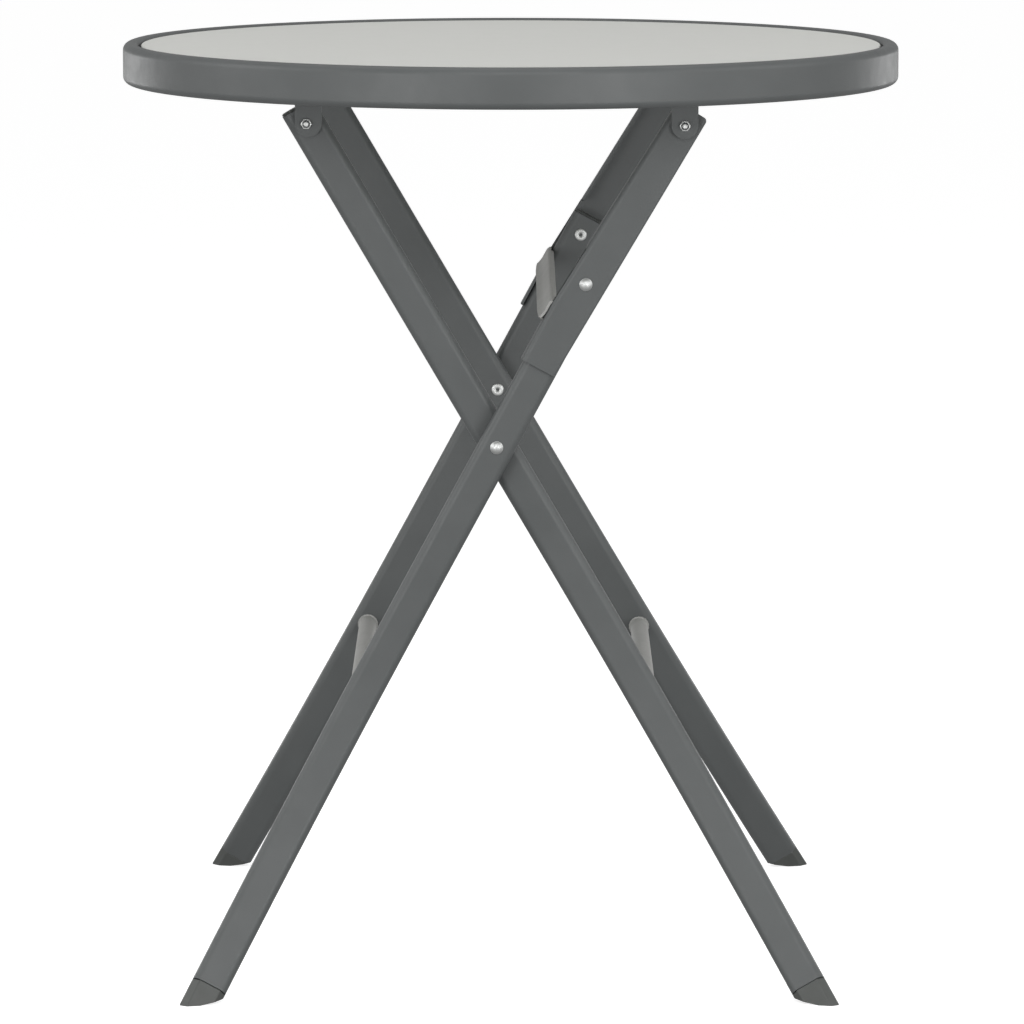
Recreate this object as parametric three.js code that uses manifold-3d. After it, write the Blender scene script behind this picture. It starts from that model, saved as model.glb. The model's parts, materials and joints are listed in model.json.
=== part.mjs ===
// A folding round bistro table: a glass top in a steel rim, carried by two crossing leg frames.
// Millimetres, +Z up, the origin on the floor under the middle of the top.
// The inner frame's legs lean left as they rise and are pinned to the top at the left pivot. The outer
// frame's legs lean right and end at the knee, where a pair of pressed links goes on to the right pivot.
import * as THREE from "three";
import { mergeVertices } from "three/addons/utils/BufferGeometryUtils.js";
import Module from "manifold-3d";

const wasm = await Module();
wasm.setup();

// The top.
const TOP_RADIUS = 300;
const TOP_HEIGHT = 700;
const RIM_HEIGHT = 31;
const RIM_WIDTH = 12;
const RIM_SHEET = 1.5;
const RIM_OUTER_BEND = 5.5;
const RIM_INNER_BEND = 4;
const RIM_LOWER_LIP = 10;
const LEDGE_WIDTH = 8;
const LEDGE_DROP = 7.8;
const GLASS_THICKNESS = 5;
const GLASS_RECESS = 1.5;
const GLASS_RADIUS = 286;
const GLASS_CHAMFER = 0.6;
const RAIL_WIDTH = 20;
const RAIL_DEPTH = 15;
const RAIL_BASE = 671;
const RAIL_CORNER = 2;
const RAIL_ROOM = 0.5;
const SEAL_BED = 7;
const SEAL_DROP = 1;
const PAD_RADIUS = 8;
const PAD_TAPER = 1;
const PAD_SPACING = 300;

// The linkage, as seen from the front.
const PIVOT_HEIGHT = 651;
const LEFT_PIVOT_X = -153;
const RIGHT_PIVOT_X = 130;
const CROSS_X = -10.5;
const CROSS_HEIGHT = 408.5;
const KNEE_OFFSET = 4;

// The legs.
const LEG_WIDTH = 27;
const LEG_DEPTH = 15;
const LEG_CORNER = 6;
const LEG_WALL = 1.5;
const LEG_GAP = 3;
const INNER_PLANE = 182.5;
const OUTER_PLANE = INNER_PLANE + LEG_DEPTH + LEG_GAP;
const INNER_BEND_START = -70;
const INNER_BEND_RADIUS = 830;
const OUTER_BEND_START = -110;
const OUTER_BEND_RADIUS = 752;
const BEND_STEPS = 9;
const LEG_END_HEIGHT = 11.5;
const LEFT_PIVOT_TO_END = 14.4;
const KNEE_TO_END = 16.6;
const PLUG_PLATE = 1.5;
const PLUG_INSERT = 6;
const FOOT_INSERT = 10;
const FOOT_REACH = 60;
const HEEL_ANGLE = Math.PI / 18;
const CROSSBAR_RADIUS = 7;
const CROSSBAR_HEIGHT = 214;

// The links from the knee to the right pivot, and the plate that joins them.
const LINK_SHEET = 1.8;
const LINK_TAIL = 72.4;
const KNEE_CLEARANCE = 23;
const LINK_END = 12.5;
const LINK_CORNER = 3;
const FLANGE_TAIL_SIDE = 16.6;
const FLANGE_TOP_SIDE = 12.4;
const WEB_TOP_SIDE = 13.6;
const STOP_GAP = 0.4;
const PLATE_WIDTH = 17;
const PLATE_SHEET = 2.5;
const PLATE_DROP = 22;
const PLATE_LIP = 3;

// Pins and brackets.
const EAR_WIDTH = 20;
const EAR_SHEET = 3;
const LEFT_EAR_SHIFT = 1.5;
const RIVET_RADIUS = 3;
const RIVET_HEAD_RADIUS = 4.9;
const RIVET_HEAD_HEIGHT = 3;
const RIVET_TAIL_HEIGHT = 1.3;
const BOLT_RADIUS = 2;
const BOLT_HEAD_RADIUS = 4;
const BOLT_HEAD_HEIGHT = 3.2;
const BOLT_END = 1;
const BOLT_CHAMFER = 0.5;
const NUT_FLATS = 7;
const NUT_HEIGHT = 4;
const WASHER_RADIUS = 7;
const WASHER_THICKNESS = 1;
const EAR_GAP = 0.8;

const FIT = 0.3;
const ROUND_STEPS = 16;
const RING_STEPS = 64;
const CUTTER = 700;

const inner = {
  lean: -Math.atan2(CROSS_X - LEFT_PIVOT_X, PIVOT_HEIGHT - CROSS_HEIGHT),
  plane: INNER_PLANE,
  pivot: Math.hypot(CROSS_X - LEFT_PIVOT_X, PIVOT_HEIGHT - CROSS_HEIGHT),
  bendStart: INNER_BEND_START,
  bendRadius: INNER_BEND_RADIUS,
};

const crossing = new THREE.Vector3(CROSS_X, 0, CROSS_HEIGHT);
const rightPivot = new THREE.Vector3(RIGHT_PIVOT_X, 0, PIVOT_HEIGHT);
const strut = rightPivot.clone().sub(crossing);
const knee = crossing
  .clone()
  .addScaledVector(strut, 0.5)
  .addScaledVector(new THREE.Vector3(-strut.z, 0, strut.x).normalize(), KNEE_OFFSET);
const lowerStrut = knee.clone().sub(crossing);
const upperStrut = rightPivot.clone().sub(knee);

const outer = {
  lean: Math.atan2(lowerStrut.x, lowerStrut.z),
  plane: OUTER_PLANE,
  pivot: lowerStrut.length(),
  bendStart: OUTER_BEND_START,
  bendRadius: OUTER_BEND_RADIUS,
};

const link = {
  lean: Math.atan2(upperStrut.x, upperStrut.z),
  length: upperStrut.length(),
};

const darkSteel = new THREE.MeshStandardMaterial({ color: 0x5f6462, roughness: 0.5, metalness: 0.2 });
const zinc = new THREE.MeshStandardMaterial({ color: 0xc4c6c8, roughness: 0.3, metalness: 1 });
const nylon = new THREE.MeshStandardMaterial({ color: 0x55585a, roughness: 0.6, metalness: 0 });
const clearGlass = new THREE.MeshStandardMaterial({ color: 0xc8c8c4, roughness: 0.15, metalness: 0 });
const rubber = new THREE.MeshStandardMaterial({ color: 0x2a2b2c, roughness: 0.85, metalness: 0 });

// Booleans.

function solidOf(geometry) {
  const plain = geometry.clone();
  plain.deleteAttribute("normal");
  plain.deleteAttribute("uv");
  const merged = mergeVertices(plain, 1e-4);
  const mesh = new wasm.Mesh({
    numProp: 3,
    vertProperties: merged.attributes.position.array,
    triVerts: new Uint32Array(merged.index.array),
  });
  return new wasm.Manifold(mesh);
}

function geometryOf(solid) {
  const mesh = solid.getMesh();
  const geometry = new THREE.BufferGeometry();
  geometry.setAttribute("position", new THREE.BufferAttribute(mesh.vertProperties, 3));
  geometry.setIndex(new THREE.BufferAttribute(mesh.triVerts, 1));
  geometry.computeVertexNormals();
  return geometry;
}

function cut(geometry, ...tools) {
  return geometryOf(tools.reduce((left, tool) => left.subtract(solidOf(tool)), solidOf(geometry)));
}

function join(...pieces) {
  return geometryOf(pieces.map(solidOf).reduce((whole, piece) => whole.add(piece)));
}

function overlapOf(a, b) {
  return geometryOf(solidOf(a).intersect(solidOf(b)));
}

// Shapes that several pieces share. Pieces of one side are drawn at positive Y, the outward direction.

function roundedRectangle(width, height, radius) {
  const x = width / 2 - radius;
  const y = height / 2 - radius;
  const quarter = Math.PI / 2;
  const shape = new THREE.Shape();
  shape.absarc(x, y, radius, 0, quarter);
  shape.absarc(-x, y, radius, quarter, 2 * quarter);
  shape.absarc(-x, -y, radius, 2 * quarter, 3 * quarter);
  shape.absarc(x, -y, radius, 3 * quarter, 4 * quarter);
  shape.closePath();
  return shape;
}

// A sheet that lies in the plane of the legs: its outline is (x, z), and its thickness runs outward from y.
function sheet(outline, y, thickness) {
  const options = { depth: thickness, bevelEnabled: false, curveSegments: 6 };
  const geometry = new THREE.ExtrudeGeometry(outline, options);
  return geometry.rotateX(Math.PI / 2).translate(0, y + thickness, 0);
}

// A round piece along Y from [radius, y] pairs, at height z.
function turned(profile, z = 0) {
  const points = profile.map(([radius, y]) => new THREE.Vector2(radius, y));
  return new THREE.LatheGeometry(points, ROUND_STEPS).translate(0, 0, z);
}

function pinHole(radius, z) {
  return new THREE.CylinderGeometry(radius, radius, CUTTER, ROUND_STEPS).translate(0, 0, z);
}

function washer(holeRadius, y, thickness) {
  const disc = new THREE.Shape().absarc(0, 0, WASHER_RADIUS, 0, 2 * Math.PI);
  disc.holes.push(new THREE.Path().absarc(0, 0, holeRadius, 0, 2 * Math.PI, true));
  return sheet(disc, y, thickness);
}

function hexNut(y) {
  const corner = NUT_FLATS / Math.sqrt(3);
  const outline = new THREE.Shape();
  for (let i = 0; i < 6; i += 1) {
    const angle = (i * Math.PI) / 3;
    outline[i ? "lineTo" : "moveTo"](corner * Math.cos(angle), corner * Math.sin(angle));
  }
  outline.closePath();
  outline.holes.push(new THREE.Path().absarc(0, 0, BOLT_RADIUS + FIT, 0, 2 * Math.PI, true));
  return sheet(outline, y, NUT_HEIGHT);
}

// A bolt whose head lies inward of y = headFace and whose plain end is at y = end, at height z.
function bolt(headFace, end, z = 0) {
  const profile = [
    [0, headFace - BOLT_HEAD_HEIGHT],
    [0.6 * BOLT_HEAD_RADIUS, headFace - BOLT_HEAD_HEIGHT],
    [BOLT_HEAD_RADIUS, headFace - BOLT_HEAD_HEIGHT / 2],
    [BOLT_HEAD_RADIUS, headFace],
    [BOLT_RADIUS, headFace],
    [BOLT_RADIUS, end - BOLT_CHAMFER],
    [BOLT_RADIUS - BOLT_CHAMFER, end],
    [0, end],
  ];
  return turned(profile, z);
}

// A domed rivet: the tail's face at y = tail, the shank, and the head outward of y = head.
function rivet(tail, head, z = 0) {
  const profile = [
    [0, tail + RIVET_TAIL_HEIGHT / 2],
    [RIVET_RADIUS / 2, tail],
    [RIVET_HEAD_RADIUS, tail],
    [RIVET_HEAD_RADIUS, tail + RIVET_TAIL_HEIGHT],
    [RIVET_RADIUS, tail + RIVET_TAIL_HEIGHT],
    [RIVET_RADIUS, head],
    [RIVET_HEAD_RADIUS, head],
    [RIVET_HEAD_RADIUS, head + RIVET_HEAD_HEIGHT / 4],
    [0.75 * RIVET_HEAD_RADIUS, head + 0.75 * RIVET_HEAD_HEIGHT],
    [0, head + RIVET_HEAD_HEIGHT],
  ];
  return turned(profile, z);
}

// The legs, in a frame that has its origin at the crossing and Z up along the leg.

// A straight run down to the bend, then an arc outward: the straight run is the first step.
class LegPath extends THREE.Curve {
  constructor(frame, top, end) {
    super();
    this.frame = frame;
    this.top = top;
    this.bendAngle = Math.asin((frame.bendStart - end) / frame.bendRadius);
  }

  angleAt(t) {
    return (Math.max(t * (BEND_STEPS + 1) - 1, 0) / BEND_STEPS) * this.bendAngle;
  }

  getPoint(t) {
    const { plane, bendStart, bendRadius } = this.frame;
    const angle = this.angleAt(t);
    const straight = Math.min(t * (BEND_STEPS + 1), 1);
    const y = plane + bendRadius * (1 - Math.cos(angle));
    const z = this.top + (bendStart - this.top) * straight - bendRadius * Math.sin(angle);
    return new THREE.Vector3(0, y, z);
  }

  getTangent(t) {
    const angle = this.angleAt(t);
    return new THREE.Vector3(0, Math.sin(angle), -Math.cos(angle));
  }

  getPointAt(t) {
    return this.getPoint(t);
  }

  getTangentAt(t) {
    return this.getTangent(t);
  }
}

function legPath(frame, top) {
  return new LegPath(frame, top, (LEG_END_HEIGHT - CROSS_HEIGHT) / Math.cos(frame.lean));
}

function legSection(extra = 0) {
  return roundedRectangle(LEG_DEPTH + 2 * extra, LEG_WIDTH + 2 * extra, LEG_CORNER + extra);
}

function alongLeg(section, path) {
  return new THREE.ExtrudeGeometry(section, { extrudePath: path, steps: BEND_STEPS + 1, curveSegments: 2 });
}

function leg(frame, top, holes) {
  const section = legSection();
  section.holes.push(legSection(-LEG_WALL));
  return cut(alongLeg(section, legPath(frame, top)), ...holes);
}

// The plug that closes a leg's upper end: a plate on the end and a short insert.
function legPlug(frame, end) {
  const base = end - PLUG_PLATE;
  const plate = alongStraight(legSection(), base, PLUG_PLATE);
  const insert = alongStraight(legSection(-LEG_WALL - FIT), base - PLUG_INSERT, PLUG_INSERT + FIT);
  return join(plate, insert).translate(0, frame.plane, 0);
}

// A leg section pulled up from z, lying across Y and X as a leg does.
function alongStraight(section, z, length) {
  const options = { depth: length, bevelEnabled: false, curveSegments: 2 };
  return new THREE.ExtrudeGeometry(section, options).rotateZ(Math.PI / 2).translate(0, 0, z);
}

// The plastic foot goes on along the leg's last direction. Its outer half is cut flat at the floor, and its
// inner half rises a little.
function foot(frame) {
  const path = legPath(frame, 0);
  const end = path.getPoint(1);
  const insertLength = FOOT_INSERT + 2 * FIT;
  const wedge = alongStraight(legSection(), FIT, FOOT_REACH);
  const insert = alongStraight(legSection(-LEG_WALL - 2 * FIT), -FOOT_INSERT, insertLength);
  const whole = join(wedge, insert).rotateX(Math.PI + path.bendAngle).translate(0, end.y, end.z);
  const middle = -CROSS_HEIGHT * Math.tan(frame.lean);
  const [floor, heel] = [0, -Math.sign(frame.lean) * HEEL_ANGLE].map((rise) => {
    const below = new THREE.BoxGeometry(CUTTER, CUTTER, CUTTER).translate(0, 0, -CUTTER / 2);
    return below.rotateY(rise).translate(middle, 0, -CROSS_HEIGHT).rotateY(-frame.lean);
  });
  return cut(whole, floor, heel);
}

function crossbar(frame) {
  const z = (CROSSBAR_HEIGHT - CROSS_HEIGHT) / Math.cos(frame.lean);
  const half = frame.plane + LEG_DEPTH;
  const wallRadius = CROSSBAR_RADIUS - LEG_WALL;
  const corners = [
    [wallRadius, -half],
    [CROSSBAR_RADIUS, -half],
    [CROSSBAR_RADIUS, half],
    [wallRadius, half],
    [wallRadius, -half],
  ];
  const rear = alongLeg(legSection(FIT), legPath(frame, 0));
  const front = rear.clone().rotateZ(Math.PI);
  return cut(turned(corners, z), rear, front);
}

// The links, in a frame that has its origin at the knee and Z up towards the right pivot.

function line(points) {
  return new THREE.Shape(points.map(([x, z]) => new THREE.Vector2(x, z)));
}

const legSide = LEG_WIDTH / 2 + STOP_GAP;

function upperLink() {
  const flangeY = OUTER_PLANE + LEG_DEPTH / 2 + 2 * FIT;
  const webY = OUTER_PLANE - LEG_DEPTH / 2;
  const webDepth = flangeY + LINK_SHEET - webY;
  const bend = link.lean - outer.lean;
  const [sin, cos] = [Math.sin(bend), Math.cos(bend)];
  // A point given along the outer leg's own direction, in the link's frame.
  const besideLeg = (x, z) => [x * cos - z * sin, x * sin + z * cos];
  const edge = legSide + LINK_SHEET;
  const tail = besideLeg(-edge, -LINK_TAIL);
  const clearing = besideLeg(-edge, -KNEE_CLEARANCE);
  const top = link.length + LINK_END;
  const flange = new THREE.Shape();
  flange.moveTo(FLANGE_TAIL_SIDE, tail[1]);
  flange.lineTo(FLANGE_TOP_SIDE, top - LINK_CORNER);
  flange.absarc(FLANGE_TOP_SIDE - LINK_CORNER, top - LINK_CORNER, LINK_CORNER, 0, Math.PI / 2);
  flange.lineTo(-WEB_TOP_SIDE, top);
  flange.lineTo(...clearing);
  flange.lineTo(...tail);
  flange.closePath();
  const lowerWeb = line([
    tail,
    besideLeg(-legSide, -LINK_TAIL),
    besideLeg(-legSide, -KNEE_CLEARANCE),
    clearing,
  ]);
  const webShare = (KNEE_CLEARANCE - clearing[1]) / (top - clearing[1]);
  const webFoot = clearing[0] - (WEB_TOP_SIDE + clearing[0]) * webShare;
  const upperWeb = line([
    [webFoot, KNEE_CLEARANCE],
    [webFoot + LINK_SHEET, KNEE_CLEARANCE],
    [-WEB_TOP_SIDE + LINK_SHEET, top],
    [-WEB_TOP_SIDE, top],
  ]);
  const whole = join(
    sheet(flange, flangeY, LINK_SHEET),
    sheet(lowerWeb, webY, webDepth),
    sheet(upperWeb, webY, webDepth),
  );
  return cut(whole, pinHole(RIVET_RADIUS + FIT, 0), pinHole(BOLT_RADIUS + FIT, link.length));
}

function kneePlate() {
  const near = -(legSide + LINK_SHEET + FIT);
  const half = OUTER_PLANE + LEG_DEPTH / 2;
  const plate = new THREE.BoxGeometry(PLATE_SHEET, 2 * half, PLATE_WIDTH);
  const middle = -(PLATE_DROP + PLATE_WIDTH / 2);
  plate.translate(near - PLATE_SHEET / 2, 0, middle);
  const lipHalf = half - LEG_DEPTH - LEG_GAP;
  const lip = new THREE.BoxGeometry(PLATE_LIP + PLATE_SHEET, 2 * lipHalf, PLATE_SHEET);
  lip.translate(near + (PLATE_LIP - PLATE_SHEET) / 2, 0, -PLATE_DROP - PLATE_SHEET / 2);
  return join(plate, lip).rotateY(outer.lean - link.lean);
}

// The top, in the table's own frame.

function rimRing() {
  const base = TOP_HEIGHT - RIM_HEIGHT;
  const wall = TOP_RADIUS - RIM_WIDTH;
  const outerCentre = TOP_RADIUS - RIM_OUTER_BEND;
  const innerCentre = wall + RIM_INNER_BEND;
  const lowBend = base + RIM_OUTER_BEND;
  const highBend = TOP_HEIGHT - RIM_OUTER_BEND;
  const innerBend = TOP_HEIGHT - RIM_INNER_BEND;
  const ledge = TOP_HEIGHT - LEDGE_DROP;
  const quarter = Math.PI / 2;
  const outline = new THREE.Path();
  outline.moveTo(TOP_RADIUS - RIM_LOWER_LIP, base);
  outline.absarc(outerCentre, lowBend, RIM_OUTER_BEND, -quarter, 0);
  outline.absarc(outerCentre, highBend, RIM_OUTER_BEND, 0, quarter);
  outline.absarc(innerCentre, innerBend, RIM_INNER_BEND, quarter, 2 * quarter);
  outline.lineTo(wall, ledge);
  outline.lineTo(wall - LEDGE_WIDTH, ledge);
  outline.lineTo(wall - LEDGE_WIDTH, ledge - RIM_SHEET);
  outline.lineTo(wall + RIM_SHEET, ledge - RIM_SHEET);
  outline.absarc(innerCentre, innerBend, RIM_INNER_BEND - RIM_SHEET, 2 * quarter, quarter, true);
  outline.absarc(outerCentre, highBend, RIM_OUTER_BEND - RIM_SHEET, quarter, 0, true);
  outline.absarc(outerCentre, lowBend, RIM_OUTER_BEND - RIM_SHEET, 0, -quarter, true);
  outline.lineTo(TOP_RADIUS - RIM_LOWER_LIP, base + RIM_SHEET);
  outline.closePath();
  return ringOf(outline.getPoints(1));
}

function ringOf(points) {
  return new THREE.LatheGeometry(points, RING_STEPS).rotateX(Math.PI / 2);
}

function glassPanel() {
  const face = TOP_HEIGHT - GLASS_RECESS;
  const back = face - GLASS_THICKNESS;
  const profile = [
    [0, back],
    [GLASS_RADIUS - GLASS_CHAMFER, back],
    [GLASS_RADIUS, back + GLASS_CHAMFER],
    [GLASS_RADIUS, face - GLASS_CHAMFER],
    [GLASS_RADIUS - GLASS_CHAMFER, face],
    [0, face],
  ];
  return ringOf(profile.map(([radius, z]) => new THREE.Vector2(radius, z)));
}

// The rubber seal lies on the rim's ledge and turns up around the glass's edge.
function glassSeal() {
  const outside = TOP_RADIUS - RIM_WIDTH - FIT;
  const inside = outside - SEAL_BED;
  const foot = TOP_HEIGHT - LEDGE_DROP + FIT;
  const bed = TOP_HEIGHT - GLASS_RECESS - GLASS_THICKNESS - FIT;
  const lip = TOP_HEIGHT - GLASS_RECESS - SEAL_DROP;
  const profile = [
    [inside, foot],
    [outside, foot],
    [outside, lip],
    [GLASS_RADIUS + FIT, lip],
    [GLASS_RADIUS + FIT, bed],
    [inside, bed],
    [inside, foot],
  ];
  return ringOf(profile.map(([radius, z]) => new THREE.Vector2(radius, z)));
}

// A rail is a rectangular tube under the glass, welded into the rim's channel at both ends.
function rail(x) {
  const section = roundedRectangle(RAIL_WIDTH, RAIL_DEPTH, RAIL_CORNER);
  const bore = [RAIL_WIDTH - 2 * LEG_WALL, RAIL_DEPTH - 2 * LEG_WALL, RAIL_CORNER - LEG_WALL];
  section.holes.push(roundedRectangle(...bore));
  const options = { depth: 2 * TOP_RADIUS, bevelEnabled: false, curveSegments: 1 };
  const tube = new THREE.ExtrudeGeometry(section, options).rotateX(Math.PI / 2);
  tube.translate(x, TOP_RADIUS, RAIL_BASE + RAIL_DEPTH / 2);
  const reach = TOP_RADIUS - RIM_OUTER_BEND - RAIL_ROOM;
  const room = new THREE.CylinderGeometry(reach, reach, 4 * RAIL_DEPTH, 2 * RING_STEPS).rotateX(Math.PI / 2);
  return overlapOf(tube, room.translate(0, 0, RAIL_BASE));
}

function glassPad() {
  const base = RAIL_BASE + RAIL_DEPTH + FIT;
  const height = TOP_HEIGHT - GLASS_RECESS - GLASS_THICKNESS - FIT - base;
  const pad = new THREE.CylinderGeometry(PAD_RADIUS - PAD_TAPER, PAD_RADIUS, height, ROUND_STEPS);
  return pad.rotateX(Math.PI / 2).translate(0, 0, base + height / 2);
}

// An ear hangs from its rail and turns out into a flange that is welded under it.
function ear(y, shift) {
  const half = EAR_WIDTH / 2;
  const top = RAIL_BASE - FIT - PIVOT_HEIGHT;
  const outline = new THREE.Shape();
  outline.moveTo(half, top);
  outline.lineTo(-half, top);
  outline.absarc(0, 0, half, Math.PI, 2 * Math.PI);
  outline.closePath();
  const flange = new THREE.BoxGeometry(EAR_WIDTH, EAR_WIDTH, EAR_SHEET);
  flange.translate(0, y + half, top - EAR_SHEET / 2);
  const strip = join(sheet(outline, y, EAR_SHEET), flange).translate(shift, 0, 0);
  return cut(strip, pinHole(BOLT_RADIUS + FIT, 0));
}

// Assembly.

const table = new THREE.Group();

function group(parent, position = new THREE.Vector3(), lean = 0) {
  const made = new THREE.Group();
  made.position.copy(position);
  made.rotation.y = lean;
  parent.add(made);
  return made;
}

function add(parent, name, geometry, material) {
  const mesh = new THREE.Mesh(geometry, material);
  mesh.name = name;
  parent.add(mesh);
  return mesh;
}

function addTop() {
  add(table, "rim_ring", rimRing(), darkSteel);
  add(table, "glass_panel", glassPanel(), clearGlass);
  add(table, "glass_seal", glassSeal(), rubber);
  add(table, "left_rail", rail(LEFT_PIVOT_X), darkSteel);
  add(table, "right_rail", rail(RIGHT_PIVOT_X), darkSteel);
}

const outerFace = OUTER_PLANE + LEG_DEPTH / 2;
const innerOuterFace = INNER_PLANE + LEG_DEPTH / 2;
const innerInnerFace = INNER_PLANE - LEG_DEPTH / 2;
const leftEar = innerOuterFace + EAR_GAP;
const flangeFace = outerFace + 2 * FIT + LINK_SHEET;
const rightWasher = flangeFace + FIT;
const rightEar = rightWasher + WASHER_THICKNESS + FIT;
const nutStack = EAR_SHEET + FIT;

function addTopFittings(side, parent) {
  const ends = [
    ["left", LEFT_PIVOT_X, leftEar, LEFT_EAR_SHIFT],
    ["right", RIGHT_PIVOT_X, rightEar, 0],
  ];
  for (const [end, x, y, shift] of ends) {
    const hung = group(parent, new THREE.Vector3(x, 0, PIVOT_HEIGHT));
    add(hung, `${end}_ear_${side}`, ear(y, shift), darkSteel);
    const padPlace = new THREE.Vector3(x, PAD_SPACING / 2, 0);
    add(group(parent, padPlace), `${end}_glass_pad_${side}`, glassPad(), rubber);
  }

  const left = group(parent, new THREE.Vector3(LEFT_PIVOT_X, 0, PIVOT_HEIGHT));
  const leftNut = leftEar + nutStack;
  const leftEnd = leftNut + NUT_HEIGHT + BOLT_END;
  const stud = [
    [0, leftEar],
    [BOLT_RADIUS, leftEar],
    [BOLT_RADIUS, leftEnd - BOLT_CHAMFER],
    [BOLT_RADIUS - BOLT_CHAMFER, leftEnd],
    [0, leftEnd],
  ];
  add(left, `left_pivot_nut_${side}`, hexNut(leftNut), zinc);
  add(left, `left_pivot_bolt_end_${side}`, turned(stud), zinc);

  const right = group(parent, new THREE.Vector3(RIGHT_PIVOT_X, 0, PIVOT_HEIGHT));
  const rightNut = rightEar + nutStack;
  const rightHead = flangeFace - LINK_SHEET - FIT;
  const rightBolt = bolt(rightHead, rightNut + NUT_HEIGHT + BOLT_END);
  const rightSpacer = washer(BOLT_RADIUS + FIT, rightWasher, WASHER_THICKNESS);
  add(right, `right_pivot_bolt_${side}`, rightBolt, zinc);
  add(right, `right_pivot_nut_${side}`, hexNut(rightNut), zinc);
  add(right, `right_pivot_washer_${side}`, rightSpacer, zinc);
}

function addInnerSide(side, parent) {
  const frame = group(parent, crossing, inner.lean);
  const end = inner.pivot + LEFT_PIVOT_TO_END;
  const holes = [pinHole(RIVET_RADIUS + FIT, 0), pinHole(BOLT_RADIUS + FIT, inner.pivot)];
  add(frame, `inner_leg_${side}`, leg(inner, end - PLUG_PLATE - FIT, holes), darkSteel);
  add(frame, `inner_leg_plug_${side}`, legPlug(inner, end), nylon);
  add(frame, `inner_foot_${side}`, foot(inner), nylon);
  const tail = innerInnerFace - FIT - RIVET_TAIL_HEIGHT;
  add(frame, `crossing_rivet_${side}`, rivet(tail, outerFace + FIT), zinc);
  const spacer = washer(RIVET_RADIUS + FIT, innerOuterFace + FIT, LEG_GAP - 2 * FIT);
  add(frame, `crossing_spacer_${side}`, spacer, nylon);
  const leftBolt = bolt(innerInnerFace - FIT, leftEar - FIT, inner.pivot);
  add(frame, `left_pivot_bolt_${side}`, leftBolt, zinc);
}

function addOuterSide(side, parent) {
  const frame = group(parent, crossing, outer.lean);
  const end = outer.pivot + KNEE_TO_END;
  const holes = [pinHole(RIVET_RADIUS + FIT, 0), pinHole(RIVET_RADIUS + FIT, outer.pivot)];
  add(frame, `outer_leg_${side}`, leg(outer, end - PLUG_PLATE - FIT, holes), darkSteel);
  add(frame, `outer_leg_plug_${side}`, legPlug(outer, end), nylon);
  add(frame, `outer_foot_${side}`, foot(outer), nylon);
  const tail = OUTER_PLANE - LEG_DEPTH / 2 - FIT - RIVET_TAIL_HEIGHT;
  add(frame, `knee_rivet_${side}`, rivet(tail, flangeFace + FIT, outer.pivot), zinc);
  add(group(parent, knee, link.lean), `upper_link_${side}`, upperLink(), darkSteel);
}

addTop();
for (const [side, outward] of [["front", -1], ["rear", 1]]) {
  const half = group(table);
  half.scale.y = outward;
  addTopFittings(side, half);
  addInnerSide(side, half);
  addOuterSide(side, half);
}
add(group(table, crossing, inner.lean), "inner_crossbar", crossbar(inner), darkSteel);
add(group(table, crossing, outer.lean), "outer_crossbar", crossbar(outer), darkSteel);
add(group(table, knee, link.lean), "knee_plate", kneePlate(), darkSteel);

export default table;
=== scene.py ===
import json
from math import asin, atan2, cos, hypot, pi, radians, sin, sqrt, tan

import bmesh
import bpy
from mathutils import Matrix, Vector


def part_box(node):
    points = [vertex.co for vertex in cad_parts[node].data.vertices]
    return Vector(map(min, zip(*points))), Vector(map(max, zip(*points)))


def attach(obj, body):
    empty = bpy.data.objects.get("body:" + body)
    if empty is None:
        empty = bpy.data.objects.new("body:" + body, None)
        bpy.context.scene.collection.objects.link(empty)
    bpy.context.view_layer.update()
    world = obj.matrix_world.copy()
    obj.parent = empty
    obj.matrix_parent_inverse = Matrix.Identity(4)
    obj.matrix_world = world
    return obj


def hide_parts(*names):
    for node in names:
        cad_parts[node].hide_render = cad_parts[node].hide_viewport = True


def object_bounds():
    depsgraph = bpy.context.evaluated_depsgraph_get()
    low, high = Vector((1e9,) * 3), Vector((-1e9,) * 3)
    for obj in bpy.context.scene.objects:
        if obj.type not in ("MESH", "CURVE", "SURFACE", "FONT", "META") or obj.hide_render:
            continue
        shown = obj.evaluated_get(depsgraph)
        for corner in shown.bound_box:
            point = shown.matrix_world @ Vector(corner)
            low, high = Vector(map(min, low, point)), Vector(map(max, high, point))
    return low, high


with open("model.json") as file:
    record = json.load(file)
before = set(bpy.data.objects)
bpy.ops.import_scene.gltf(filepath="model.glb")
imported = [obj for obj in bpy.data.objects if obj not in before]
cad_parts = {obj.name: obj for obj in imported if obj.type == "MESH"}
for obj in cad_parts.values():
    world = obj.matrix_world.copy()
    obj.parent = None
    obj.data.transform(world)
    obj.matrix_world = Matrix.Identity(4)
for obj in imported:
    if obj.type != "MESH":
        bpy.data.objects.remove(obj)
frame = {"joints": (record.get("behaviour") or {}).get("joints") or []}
cad_low, cad_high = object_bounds()

# The same driving sizes as the CAD.
TOP_RADIUS = 0.300
TOP_HEIGHT = cad_high.z
RIM_HEIGHT = 0.031
RIM_WIDTH = 0.012
RIM_SHEET = 0.0015
RIM_OUTER_BEND = 0.0055
RIM_INNER_BEND = 0.004
RIM_LOWER_LIP = 0.010
LEDGE_WIDTH = 0.008
LEDGE_DROP = 0.0078
GLASS_RADIUS = 0.286
RAIL_WIDTH = 0.020
RAIL_CORNER = 0.002
RAIL_ROOM = 0.0005
LEG_WIDTH = 0.027
LEG_DEPTH = 0.015
LEG_CORNER = 0.006
LEG_WALL = 0.0015
LEG_GAP = 0.003
INNER_PLANE = 0.1825
OUTER_PLANE = INNER_PLANE + LEG_DEPTH + LEG_GAP
LEG_END_HEIGHT = 0.0115
LEFT_PIVOT_TO_END = 0.0144
KNEE_TO_END = 0.0166
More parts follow.
